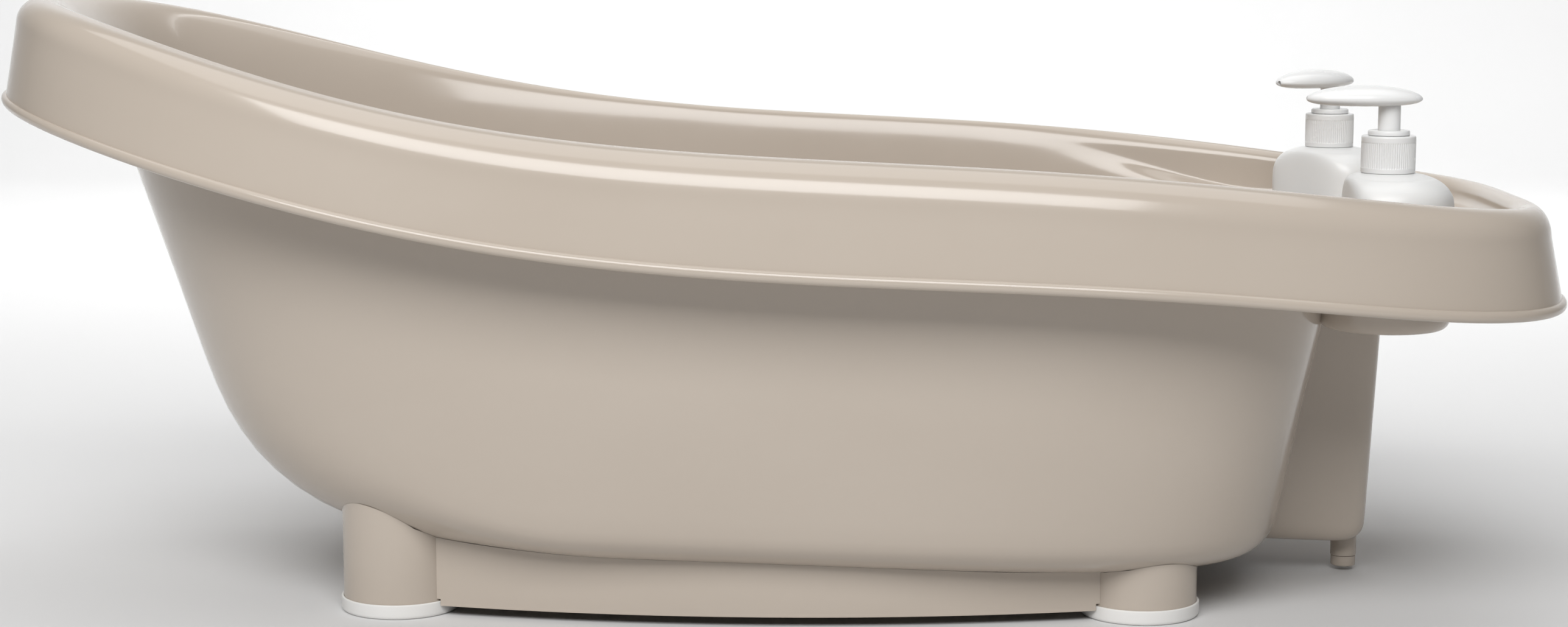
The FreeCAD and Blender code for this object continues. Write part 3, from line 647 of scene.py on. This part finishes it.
    def niche_columns(self, edge: np.ndarray, centre: np.ndarray, counts: list[int],
                      powers: np.ndarray) -> np.ndarray:
        """The end wall's columns with the niche pushed out of it, from its edge to its middle line.

        In plan the line runs along the wall, round a fillet, out along the niche's side, round its
        corner and along its end. Depth is given as a share, from the wall's place to the niche's.

        Args:
            edge: The rows' points where the zone starts.
            centre: The rows' points on the middle line.
            counts: How many rows are floor, bend, wall and shelf.
            powers: Each row's superellipse power at the foot end.

        Returns:
            Points shaped (rows, columns, 3), for y above 0.
        """
        target, half, follow = self.niche_profile(centre, counts)
        depth = np.maximum(target[:, 0] - centre[:, 0], 0.01)
        fillet = np.minimum(self.niche_fillet, depth * 0.45)
        corner = np.minimum(self.niche_corner, depth * 0.45)
        side = edge[:, 1]
        zero = np.zeros_like(depth)
        stretches = [((side, zero), ((side + half + fillet) / 2, zero), (half + fillet, zero), 6),
                     ((half + fillet, zero), (half, zero), (half, fillet), 8),
                     ((half, fillet), (half, depth / 2), (half, depth - corner), 7),
                     ((half, depth - corner), (half, depth), (half - corner, depth), 8),
                     ((half - corner, depth), ((half - corner) / 2, depth), (zero, depth), 6)]
        along, deep = [], []
        for start, knee, end, steps in stretches:
            share = (np.arange(steps) / steps)[None]
            along.append(bend(start[0][:, None], knee[0][:, None], end[0][:, None], share))
            deep.append(bend(start[1][:, None], knee[1][:, None], end[1][:, None], share))
        y = np.concatenate(along + [zero[:, None]], axis=1)
        pushed = np.concatenate(deep + [depth[:, None]], axis=1) / depth[:, None]
        even = side[:, None] * np.linspace(1, 0, y.shape[1])[None]
        y = even + (y - even) * follow[:, None]
        arch = (y / side[:, None]) ** powers[:, None]
        base = centre[:, None] + (edge - centre)[:, None] * arch[:, :, None]
        x = base[:, :, 0] + (target[:, None, 0] - base[:, :, 0]) * pushed
        z = base[:, :, 2] + (target[:, None, 1] - base[:, :, 2]) * pushed
        return np.stack([x, y, z], axis=2)

    def skin_rows(self) -> np.ndarray:
        """The whole skin, from the floor's middle over the rim, round the bead and back underneath.

        Returns:
            Points shaped (rows, columns, 3) in millimetres.
        """
        main = np.linspace(self.niche_zone, FULL_TURN - self.niche_zone, self.columns)
        zone = np.array([self.niche_zone, 0])

        def rows_at(angle: np.ndarray) -> tuple[np.ndarray, list[int]]:
            """All the wet rows at some angles, and how many of each kind come before the rim."""
            floors, bends, walls = self.tub_rows(angle)
            shelves = [walls.pop()] + self.shelf_rows(angle)
            counts = [len(floors), len(bends), len(walls), len(shelves)]
            rows = np.stack(floors + bends + walls + shelves + self.roll_rows(angle))
            return self.eased_inside(rows, sum(counts[:3]) - 1, sum(counts) + self.inner_roll_rows), counts

        rows, counts = rows_at(main)
        ends, _ = rows_at(zone)
        powers = np.full(len(rows), self.rim_powers[1])
        powers[:sum(counts[:2])] = 4
        powers[sum(counts[:2]):sum(counts)] = 4.2
        upper = self.niche_columns(ends[:, 0], ends[:, 1], counts, powers)
        lower = upper * (1, -1, 1)
        whole = np.concatenate([rows, lower[:, 1:], upper[:, -2:0:-1]], axis=1)
        steps = 3
        wet = smoothed(whole, steps)
        dry = wet + normals_of(wet) * self.wall
        flat = counts[0] * steps
        dry[:flat] = wet[:flat] - (0, 0, self.wall)
        bead_main = np.stack(self.bead_rows(main))
        ends_bead = np.stack(self.bead_rows(zone))
        even = ends_bead[:, 0, 1:2] * np.linspace(1, 0, upper.shape[1])[None]
        arch = (even / ends_bead[:, 0, 1:2]) ** self.rim_powers[1]
        bead_zone = ends_bead[:, 1:2] + (ends_bead[:, :1] - ends_bead[:, 1:2]) * arch[:, :, None]
        bead_zone[:, :, 1] = even
        bead_low = bead_zone * (1, -1, 1)
        bead = np.concatenate([bead_main, bead_low[:, 1:], bead_zone[:, -2:0:-1]], axis=1)
        return np.concatenate([wet, bead, dry[::-2]])

    def well(self, side: int, extra: float, top: float, lip: float) -> bpy.types.Object:
        """A drafted cup with a rounded foot, to add to the skin or to take away from it.

        Args:
            side: -1 for the front well, 1 for the rear.
            extra: Wall thickness added round it.
            top: Height of its top.
            lip: Radius of the flare at the shelf, or 0.

        Returns:
            A closed mesh.
        """
        low = self.well_floor - extra
        draft = (self.well_mouth - self.well_foot) / (self.shelf - self.well_floor)
        at_top = self.well_foot + extra + draft * (top - low)
        corners = [(0, low, 0), (self.well_foot + extra, low, self.well_round + extra)]
        if lip:
            at_shelf = self.well_foot + draft * (self.shelf - low)
            corners += [(at_shelf, self.shelf, lip * 1.4), (at_shelf + lip * 1.5, self.shelf + 0.02, 0),
                        (at_shelf + lip * 1.5, top, 0)]
        else:
            corners += [(at_top, top, 0)]
        corners += [(0, top, 0)]
        rows = turned(soft_outline(corners, 9), (WELL_X, side * WELL_Y), 112)
        return faced_outwards(surface(f"well_{side}", rows))

    def spout(self) -> bpy.types.Object:
        """The drain's spout and its stepped nose, as a closed mesh that reaches into the niche's floor."""
        corners = [(0, self.nose_tip, 0), (self.nose_radius, self.nose_tip, 0.6),
                   (self.nose_radius, self.spout_step, 0.4), (self.spout_radius, self.spout_step, 0.5),
                   (self.spout_radius, 26, 0), (0, 26, 0)]
        rows = turned(soft_outline(corners, 5), (self.spout_x, 0), 72)
        return faced_outwards(surface("spout", rows))

    def bore(self) -> bpy.types.Object:
        """The drain's bore, with a funnel where it leaves the niche's floor."""
        corners = [(0, 0, 0), (self.bore_radius, 0, 0), (self.bore_radius, 24.5, 2),
                   (self.bore_radius + 4, 28, 0), (0, 28, 0)]
        rows = turned(soft_outline(corners, 5), (self.spout_x, 0), 72)
        return faced_outwards(surface("bore", rows))

    def build(self, material: bpy.types.Material) -> None:
        """Make the skin, add the cups and the spout, open the wells and the bore, and dress it."""
        tub = faced_outwards(surface("bath_moulding", self.skin_rows()))
        cups = [self.well(side, self.wall, self.shelf - 1, 0) for side in (-1, 1)]
        joined(tub, cups + [self.spout()], Joining.ADD)
        hollows = [self.well(side, 0, self.shelf + 60, self.well_lip) for side in (-1, 1)]
        joined(tub, hollows + [self.bore()], Joining.TAKE_AWAY)
        soften(tub.data, 38)
        stands_for(tub, "bath_tub", "bath", material)


@dataclass
class FootCaps:
    """The four soft white caps on the legs."""

    leg_x: float = 231
    leg_y: float = 124
    radius: float = 37.1
    rise: float = 9.2
    foot_round: float = 2.6
    lip_round: float = 0.9
    bore: float = 35.6
    seat: float = 3
    plug: float = 32.6
    plug_bore: float = 30
    plug_rise: float = 9

    def build(self, material: bpy.types.Material) -> None:
        """Turn one cap for each leg: a dish with a rounded foot, and a ring that plugs the bore."""
        corners = [(0, 0, 0), (self.radius, 0, self.foot_round), (self.radius, self.rise, self.lip_round),
                   (self.bore, self.rise, 0.5), (self.bore, self.seat, 0.6), (self.plug, self.seat, 0.6),
                   (self.plug, self.plug_rise, 0.8), (self.plug_bore, self.plug_rise, 0.8),
                   (self.plug_bore, self.seat, 0.8), (0, self.seat, 0)]
        for side, y in (("front", -self.leg_y), ("rear", self.leg_y)):
            for end, x in (("head", -self.leg_x), ("foot", self.leg_x)):
                rows = turned(soft_outline(corners), (x, y), 112)
                cap = faced_outwards(surface(f"soft_cap_{side}_{end}", rows))
                stands_for(cap, f"foot_cap_{side}_{end}", "bath", material)


# ---------------------------------------------------------------- the bottles
class Side(Enum):
    """The two bottles, and how far each is turned in its well, in degrees."""

    FRONT = 0.0
    REAR = 38.0

    @property
    def word(self) -> str:
        """The side as the CAD names it."""
        return self.name.lower()

    @property
    def centre(self) -> tuple[float, float]:
        """The bottle's axis in plan."""
        return WELL_X, -WELL_Y if self is Side.FRONT else WELL_Y

    def placed(self, rows: np.ndarray) -> np.ndarray:
        """Rows drawn round the origin, turned and moved to this side's axis."""
        a = math.radians(self.value)
        x = rows[..., 0] * math.cos(a) - rows[..., 1] * math.sin(a) + self.centre[0]
        y = rows[..., 0] * math.sin(a) + rows[..., 1] * math.cos(a) + self.centre[1]
        return np.stack([x, y, rows[..., 2]], axis=-1)


@dataclass
class PumpBottle:
    """One bottle with its closure collar, lock disc, stem and lozenge-shaped head."""

    side: Side
    base: float = 180.3
    foot: float = 36.3
    belly: float = 40.8
    shoulder: float = 250
    flat: float = 25
    flat_power: float = 6.5
    wall: float = 1.6
    neck: float = 12.6
    neck_top: float = 291
    collar: float = 16.5
    collar_low: float = 273.9
    collar_top: float = 296.6
    collar_bore: float = 12.8
    collar_mouth: float = 9.8
    collar_step: float = 293.2
    grip_low: float = 277
    grip_top: float = 292.5
    grip_depth: float = 0.45
    ribs: int = 70
    disc: float = 12.7
    disc_low: float = 296.8
    disc_top: float = 299.9
    guide: float = 8.35
    guide_bore: float = 6.95
    guide_low: float = 289
    stem: float = 6.8
    stem_bore: float = 4.4
    stem_narrow: float = 5.6
    stem_wide_low: float = 288.7
    stem_low: float = 280.6
    stem_top: float = 321
    nozzle: float = 51
    back: float = 20
    head_half: float = 15.5
    head_low: float = 314.5
    head_edge: float = 318.8
    head_top: float = 327.2
    head_power: float = 1.9
    head_under_power: float = 0.55
    head_dome_power: float = 1.05
    socket: float = 6.86
    socket_low: float = 300
    socket_gap: float = 0.1
    outlet: float = 1.5

    def vessel_outline(self, inset: float) -> np.ndarray:
        """The bottle's (radius, height) outline, drawn in by inset."""
        belly = self.belly - inset
        base = self.base + inset
        top = self.shoulder - inset
        return soft_outline([(0, base, 0), (self.foot - inset, base, 7), (belly, self.shoulder, 9),
                             (belly - 0.9, top + 10.5, 6), (belly - 7.4, top + 18.3, 7),
                             (belly - 17.5, top + 22.6, 6), (self.neck - inset, top + 24.2, 1.2),
                             (self.neck - inset, self.neck_top, 0)], 8)

    def flattened(self, outline: np.ndarray, flat: float) -> np.ndarray:
        """Rows of a turned shape that is flat on its nozzle side.

        The radius is (R^-p + (-cos / flat)^p)^(-1/p), the soft smaller of the circle and the flat.
        """
        angle = np.arange(144) * FULL_TURN / 144
        round_share = np.maximum(outline[:, 0:1], 1e-3) ** -self.flat_power
        flat_share = (np.maximum(-np.cos(angle), 0) / flat) ** self.flat_power
        radius = (round_share + flat_share) ** (-1 / self.flat_power)
        height = np.broadcast_to(outline[:, 1:2], radius.shape)
        return np.stack([radius * np.cos(angle), radius * np.sin(angle), height], axis=2)

    def build_vessel(self, material: bpy.types.Material) -> None:
        """The hollow bottle: its outside up to the neck's mouth, and its inside back down."""
        outside = self.flattened(self.vessel_outline(0), self.flat)
        inside = self.flattened(self.vessel_outline(self.wall), self.flat - self.wall)
        rows = self.side.placed(np.concatenate([outside, inside[::-1]]))
        vessel = faced_outwards(surface(f"{self.side.word}_vessel", rows))
        stands_for(vessel, f"{self.side.word}_bottle", f"{self.side.word}_bottle", material)

    def build_collar(self, material: bpy.types.Material) -> None:
        """The ribbed collar: the grip's radius rises and falls with a rounded wave for each rib."""
        grip = self.collar - 0.05
        corners = [(self.collar_bore, self.collar_low, 0), (self.collar - 0.1, self.collar_low, 0.5),
                   (self.collar, self.grip_low - 0.6, 0.3), (grip, self.grip_low + 0.2, 0.3),
                   (grip, self.grip_top - 0.2, 0.3), (self.collar, self.grip_top + 0.6, 0.3),
                   (self.collar, self.collar_top, 1.3), (self.collar_mouth, self.collar_top, 0.4),
                   (self.collar_mouth, self.collar_step, 0.2), (self.collar_bore, self.collar_step, 0.3)]
        rows = turned(soft_outline(corners, 7), (0, 0), self.ribs * 6)
        radius = np.linalg.norm(rows[..., :2], axis=2)
        angle = np.arctan2(rows[..., 1], rows[..., 0])
        groove = (0.5 - 0.5 * np.cos(angle * self.ribs)) ** 2
        band = ease(self.grip_low - 0.4, self.grip_low + 0.6, rows[..., 2])
        band = band * ease(-self.grip_top - 0.4, -self.grip_top + 0.6, -rows[..., 2]) * (radius > 14)
        rows[..., :2] *= (1 - self.grip_depth * groove * band / radius)[..., None]
        collar = surface(f"{self.side.word}_closure", self.side.placed(rows), tied=True, crease=50)
        stands_for(faced_outwards(collar), f"{self.side.word}_collar", f"{self.side.word}_bottle",
                   material)

    def build_disc(self, material: bpy.types.Material) -> None:
        """The lock disc, with a rounded top edge and the plug that guides the stem."""
        corners = [(self.guide_bore, self.guide_low, 0), (self.guide, self.guide_low, 0.4),
                   (self.guide, self.disc_low, 0.3), (self.disc, self.disc_low, 0.5),
                   (self.disc, self.disc_top, 1.5), (self.guide_bore, self.disc_top, 0.5)]
        rows = turned(soft_outline(corners), (0, 0), 112)
        disc = surface(f"{self.side.word}_guide_disc", self.side.placed(rows), tied=True)
        stands_for(faced_outwards(disc), f"{self.side.word}_lock_disc", f"{self.side.word}_bottle",
                   material)

    def build_stem(self, material: bpy.types.Material) -> None:
        """The hollow stem, narrower inside the piston."""
        corners = [(self.stem_bore, self.stem_low, 0.3), (self.stem_narrow, self.stem_low, 0.3),
                   (self.stem_narrow, self.stem_wide_low, 0.3), (self.stem, self.stem_wide_low, 0.6),
                   (self.stem, self.stem_top, 0.3), (self.stem_bore, self.stem_top, 0.3)]
        rows = turned(soft_outline(corners), (0, 0), 96)
        stem = surface(f"{self.side.word}_tube_stem", self.side.placed(rows), tied=True)
        stands_for(faced_outwards(stem), f"{self.side.word}_stem", f"{self.side.word}_plunger",
                   material)

    def head_rows(self) -> np.ndarray:
        """The lozenge head: a long oval in plan, drawn in as a power of the cosine up its dome.

        Returns:
            Points shaped (rows, columns, 3), from the underside's middle to the top's.
        """
        angle = np.arange(160) * FULL_TURN / 160
        cosine, sine = np.cos(angle), np.sin(angle)
        middle = (self.back - self.nozzle) / 2
        reach = (self.back + self.nozzle) / 2
        power = self.head_power
        grow = (np.abs(cosine) ** power + np.abs(sine) ** power) ** (-1 / power)
        below = np.radians(np.linspace(88, 4, 14))
        above = np.radians(np.linspace(0, 88, 20))
        share = np.concatenate([np.cos(below) ** self.head_under_power,
                                np.cos(above) ** self.head_dome_power])
        lift = np.concatenate([-(self.head_edge - self.head_low) * np.sin(below),
                               (self.head_top - self.head_edge) * np.sin(above)])
        x = middle + share[:, None] * (reach * grow * cosine)[None]
        y = share[:, None] * (self.head_half * grow * sine)[None]
        z = np.broadcast_to((self.head_edge + lift)[:, None], x.shape)
        return np.stack([x, y, z], axis=2)

    def build_head(self, material: bpy.types.Material) -> None:
        """The head, with the stem's socket below and the outlet's bore at the nozzle."""
        head = faced_outwards(surface(f"{self.side.word}_lozenge_head", self.side.placed(self.head_rows())))
        low = self.socket_low
        end = self.stem_top + self.socket_gap
        past = self.nozzle + 4
        socket = turned(np.array([(0, low), (self.socket, low), (self.socket, end), (0, end)], float),
                        (0, 0), 96)
        outlet = turned(np.array([(0, 0), (self.outlet, 0), (self.outlet, past), (0, past)], float),
                        (0, 0), 40)
        lying = np.stack([-outlet[..., 2], outlet[..., 1], self.head_edge + outlet[..., 0]], axis=2)
        tools = [faced_outwards(surface("socket", self.side.placed(socket))),
                 faced_outwards(surface("outlet", self.side.placed(lying)))]
        joined(head, tools, Joining.TAKE_AWAY)
        soften(head.data, 38)
        stands_for(head, f"{self.side.word}_pump_head", f"{self.side.word}_head", material)

    def build(self, bottle_finish: bpy.types.Material, pump_finish: bpy.types.Material) -> None:
        """Make every seen piece of the bottle in its order from the base up."""
        self.build_vessel(bottle_finish)
        self.build_collar(pump_finish)
        self.build_disc(pump_finish)
        self.build_stem(pump_finish)
        self.build_head(pump_finish)


# ---------------------------------------------------------------- studio
@dataclass
class Studio:
    """The floor, the soft lights and the camera."""

    camera_at: tuple = (0.0635, -1.7994, 0.4137)
    camera_pitch: float = 7.71
    camera_yaw: float = 1.84
    lens: float = 62.93
    floor_half: float = 7
    curve_from: float = 3
    curve_radius: float = 1.5
    backdrop_top: float = 6

    def build_floor(self) -> None:
        """A wide pale floor that curves up behind into a backdrop, with a faint tone in it."""
        share = np.linspace(0, 1, 40)
        turn = share * math.pi / 2
        radius = self.curve_radius
        y = np.concatenate([[-6, -2, 0, 2], self.curve_from + radius * np.sin(turn),
                            [self.curve_from + radius]])
        z = np.concatenate([[0, 0, 0, 0], radius - radius * np.cos(turn), [self.backdrop_top]])
        x = np.array([-self.floor_half, self.floor_half])
        points = np.stack([np.tile(x, len(y)), np.repeat(y, 2), np.repeat(z, 2)], axis=1)
        start = np.arange(len(y) - 1) * 2
        faces = np.stack([start, start + 1, start + 3, start + 2], axis=1)
        mesh = bpy.data.meshes.new("studio_floor")
        mesh.from_pydata(points.tolist(), [], faces.tolist())
        mesh.shade_smooth()
        floor = bpy.data.objects.new("studio_floor", mesh)
        bpy.context.scene.collection.objects.link(floor)
        wiring = Wiring("pale_floor")
        tone = wiring.between(wiring.noise(1.5, 2), (0.7, 0.7, 0.7), (0.72, 0.72, 0.72))
        wiring.link(tone, wiring.shader.inputs["Base Color"])
        wiring.shader.inputs["Roughness"].default_value = 0.9
        dress(floor, wiring.material)

    def softbox(self, name: str, place: tuple, aim: tuple, width: float, height: float,
                power: float) -> None:
        """A rectangular softbox that faces a point.

        Args:
            name: The lamp's name.
            place: Where it stands, in metres.
            aim: The point that it faces.
            width: Its width in metres.
            height: Its height in metres.
            power: Its power in watts.
        """
        lamp = bpy.data.lights.new(name, "AREA")
        lamp.shape = "RECTANGLE"
        lamp.size = width
        lamp.size_y = height
        lamp.energy = power
        box = bpy.data.objects.new(name, lamp)
        bpy.context.scene.collection.objects.link(box)
        box.location = place
        direction = Vector(aim) - Vector(place)
        box.rotation_euler = direction.to_track_quat("-Z", "Y").to_euler()

    def build_lights(self) -> None:
        """A wide bank above the camera, a softer box overhead, and a dim surround."""
        self.softbox("front_bank", (-0.35, -2.4, 2.2), (-0.1, -0.2, 0.28), 3.0, 1.5, 96)
        self.softbox("top_box", (-0.1, 0.3, 3.0), (-0.05, 0.05, 0.2), 3.6, 2.6, 42)
        self.softbox("backdrop_box", (0, 1.6, 2.6), (0, 4.2, 0.6), 5.0, 1.2, 140)
        world = bpy.data.worlds.new("studio")
        world.use_nodes = True
        background = world.node_tree.nodes["Background"]
        background.inputs["Color"].default_value = (1, 1, 1, 1)
        background.inputs["Strength"].default_value = 0.06
        bpy.context.scene.world = world
        bpy.context.scene.view_settings.view_transform = "Standard"

    def build_camera(self) -> None:
        """The camera, a little above the rim in front of the bath and aimed slightly down."""
        lens = bpy.data.cameras.new("camera")
        lens.lens = self.lens
        lens.sensor_width = 36
        camera = bpy.data.objects.new("camera", lens)
        bpy.context.scene.collection.objects.link(camera)
        camera.location = self.camera_at
        camera.rotation_euler = (math.radians(90 - self.camera_pitch), 0, math.radians(self.camera_yaw))
        bpy.context.scene.camera = camera


# ---------------------------------------------------------------- everything
def dress_frame(finishes: dict[str, bpy.types.Material]) -> None:
    """Give every CAD node that stays in view the finish of its slot.

    Args:
        finishes: Finish by the record's slot name.
    """
    for part in frame["record"]["subparts"]:
        carried = frame["nodes"][part["node"]]
        if not carried.hide_render:
            dress(carried, finishes[part["material_slot"]])
            log.info("%s keeps its CAD shape in %s", part["node"], part["material_slot"])


def main() -> None:
    """Build the bath, the bottles and the studio, in that order."""
    logging.basicConfig(level=logging.INFO, format="%(name)s: %(message)s")
    finishes = {"taupe_plastic": TAUPE.material(), "bottle_plastic": BOTTLE_WHITE.material(),
                "pump_plastic": PUMP_WHITE.material(), "clear_plastic": TUBE_CLEAR.material(),
                "white_rubber": FOOT_WHITE.material(), "seal_rubber": SEAL_GREY.material(),
                "steel": STEEL.material()}
    BathTub().build(finishes["taupe_plastic"])
    FootCaps().build(finishes["white_rubber"])
    for side in Side:
        PumpBottle(side).build(finishes["bottle_plastic"], finishes["pump_plastic"])
    dress_frame(finishes)
    studio = Studio()
    studio.build_floor()
    studio.build_lights()
    studio.build_camera()
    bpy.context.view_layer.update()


if __name__ == "__main__":
    main()
